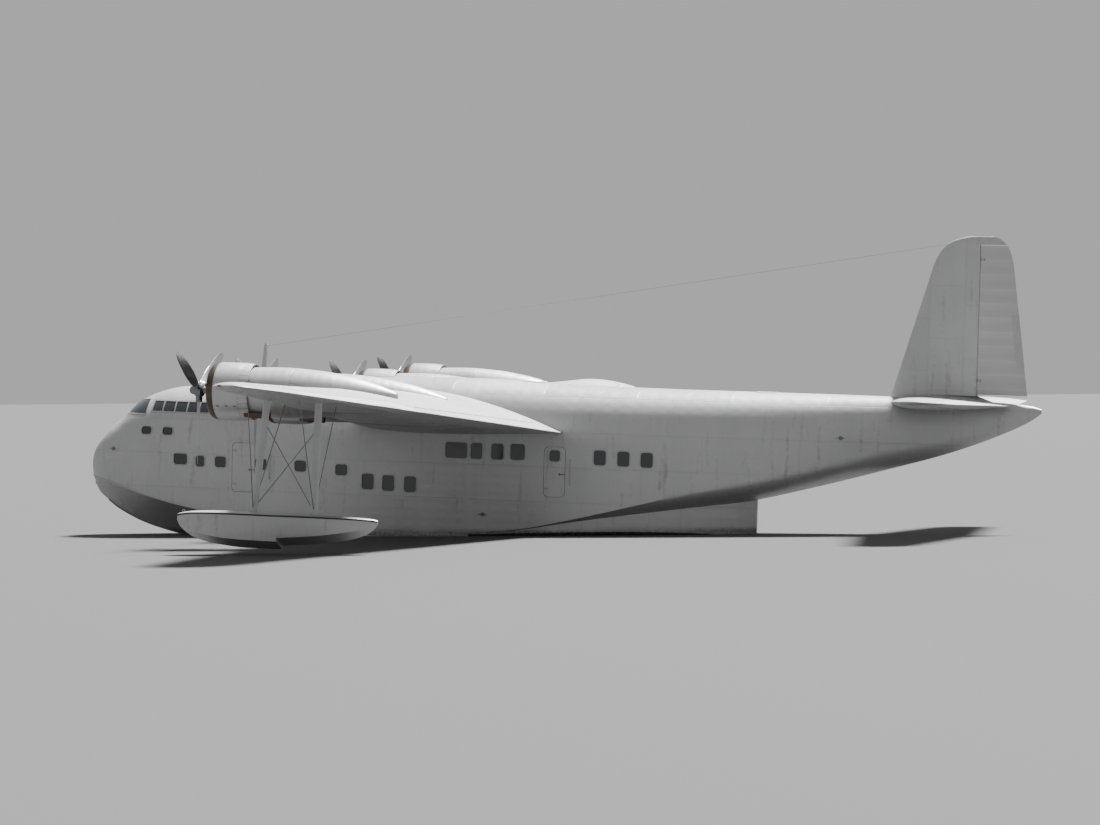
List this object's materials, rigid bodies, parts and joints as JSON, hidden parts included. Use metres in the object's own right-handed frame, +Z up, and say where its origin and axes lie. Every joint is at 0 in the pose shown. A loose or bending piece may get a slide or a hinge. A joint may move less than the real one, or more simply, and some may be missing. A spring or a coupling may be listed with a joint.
{
  "type": "four-engined flying boat",
  "caption": "Large high-winged passenger flying boat with radial engines, wing floats, stepped planing hull, hinged controls, sliding-arc flaps and hull doors.",
  "frame": {"origin": "on the waterline, on the centre plane, above the keel at the main step", "axes": "+Z up, -Y towards the nose, +X to port"},
  "size_m": [34.75, 26.903, 8.8077],
  "materials": {
    "silver_skin": "satin silver paint",
    "doped_fabric": "silver-doped fabric",
    "glass": "clear",
    "cowl": "satin silver paint",
    "engine": "dull grey castings",
    "propeller": "brushed",
    "exhaust": "heat-stained",
    "strut": "satin silver paint"
  },
  "bodies": {
    "hull": {"windscreen_port": "glass", "windscreen_starboard": "glass", "deck_side_window_port": "glass", "deck_side_window_starboard": "glass", "hull": "silver_skin", "wing_port": "silver_skin", "wing_starboard": "silver_skin", "wing_tip_port": "silver_skin", "wing_tip_starboard": "silver_skin", "tailplane_port": "silver_skin", "tailplane_starboard": "silver_skin", "float_port": "silver_skin", "float_starboard": "silver_skin", "float_struts_port": "strut", "float_struts_starboard": "strut", "fin": "silver_skin", "nacelle_1": "silver_skin", "cowling_1": "cowl", "engine_1": "engine", "exhaust_pipe_1": "exhaust", "nacelle_2": "silver_skin", "cowling_2": "cowl", "engine_2": "engine", "exhaust_pipe_2": "exhaust", "nacelle_3": "silver_skin", "cowling_3": "cowl", "engine_3": "engine", "exhaust_pipe_3": "exhaust", "nacelle_4": "silver_skin", "cowling_4": "cowl", "engine_4": "engine", "exhaust_pipe_4": "exhaust", "aerial_mast": "strut"},
    "propeller_1": {"propeller_1": "propeller"},
    "propeller_2": {"propeller_2": "propeller"},
    "propeller_3": {"propeller_3": "propeller"},
    "propeller_4": {"propeller_4": "propeller"},
    "aileron_port": {"aileron_port": "doped_fabric"},
    "aileron_starboard": {"aileron_starboard": "doped_fabric"},
    "elevator_port": {"elevator_port": "doped_fabric"},
    "elevator_starboard": {"elevator_starboard": "doped_fabric"},
    "flap_port": {"flap_port": "silver_skin"},
    "flap_starboard": {"flap_starboard": "silver_skin"},
    "rudder": {"rudder": "doped_fabric"},
    "door_forward_port": {"door_forward_port": "silver_skin"},
    "door_aft_port": {"door_aft_port": "silver_skin"},
    "door_freight_starboard": {"door_freight_starboard": "silver_skin"}
  },
  "joints": [
    {"name": "propeller_1_spin", "type": "hinge", "parent": "hull", "child": "propeller_1", "pos_m": [8.3, -5.1845, 4.06067], "axis": [0, -0.9991, 0.0419], "continuous": true},
    {"name": "propeller_2_spin", "type": "hinge", "parent": "hull", "child": "propeller_2", "pos_m": [3.9, -5.19121, 3.90081], "axis": [0, -0.9991, 0.0419], "continuous": true},
    {"name": "propeller_3_spin", "type": "hinge", "parent": "hull", "child": "propeller_3", "pos_m": [-3.9, -5.19121, 3.90081], "axis": [0, -0.9991, 0.0419], "continuous": true},
    {"name": "propeller_4_spin", "type": "hinge", "parent": "hull", "child": "propeller_4", "pos_m": [-8.3, -5.1845, 4.06067], "axis": [0, -0.9991, 0.0419], "continuous": true},
    {"name": "aileron_port_hinge", "type": "hinge", "parent": "hull", "child": "aileron_port", "pos_m": [9.7, 0.53626, 3.57816], "axis": [0.992, -0.1064, 0.0676], "range_deg": [-22, 22]},
    {"name": "aileron_starboard_hinge", "type": "hinge", "parent": "hull", "child": "aileron_starboard", "pos_m": [-9.7, 0.53626, 3.57816], "axis": [0.992, 0.1064, -0.0676], "range_deg": [-22, 22]},
    {"name": "elevator_port_hinge", "type": "hinge", "parent": "hull", "child": "elevator_port", "pos_m": [0.43, 13.4275, 3.44046], "axis": [0.9998, 0.0178, 0.0128], "range_deg": [-22, 26]},
    {"name": "elevator_starboard_hinge", "type": "hinge", "parent": "hull", "child": "elevator_starboard", "pos_m": [-0.43, 13.4275, 3.44046], "axis": [0.9998, -0.0178, -0.0128], "range_deg": [-22, 26]},
    {"name": "flap_port_hinge", "type": "hinge", "parent": "hull", "child": "flap_port", "pos_m": [2.35, 1.79002, 1.16389], "axis": [-0.9802, 0.1261, -0.1528], "range_deg": [0, 24]},
    {"name": "flap_starboard_hinge", "type": "hinge", "parent": "hull", "child": "flap_starboard", "pos_m": [-2.35, 1.79002, 1.16389], "axis": [-0.9802, -0.1261, 0.1528], "range_deg": [0, 24]},
    {"name": "rudder_hinge", "type": "hinge", "parent": "hull", "child": "rudder", "pos_m": [0, 13.7961, 3.67751], "axis": [0, 0.0419, 0.9991], "range_deg": [-24, 24]},
    {"name": "door_forward_port_hinge", "type": "hinge", "parent": "hull", "child": "door_forward_port", "pos_m": [1.5259, -6.85398, 0.28727], "axis": [0, -0.0419, -0.9991], "range_deg": [0, 85]},
    {"name": "door_aft_port_hinge", "type": "hinge", "parent": "hull", "child": "door_aft_port", "pos_m": [1.50803, 2.08817, -0.08752], "axis": [0, -0.0419, -0.9991], "range_deg": [0, 85]},
    {"name": "door_freight_starboard_hinge", "type": "hinge", "parent": "hull", "child": "door_freight_starboard", "pos_m": [-1.52945, -6.85398, 0.28727], "axis": [0, 0.0419, 0.9991], "range_deg": [0, 85]}
  ],
  "couplings": [
    {"joint": "aileron_starboard_hinge", "follows": "aileron_port_hinge", "ratio": -1},
    {"joint": "elevator_starboard_hinge", "follows": "elevator_port_hinge", "ratio": 1},
    {"joint": "flap_starboard_hinge", "follows": "flap_port_hinge", "ratio": 1}
  ]
}
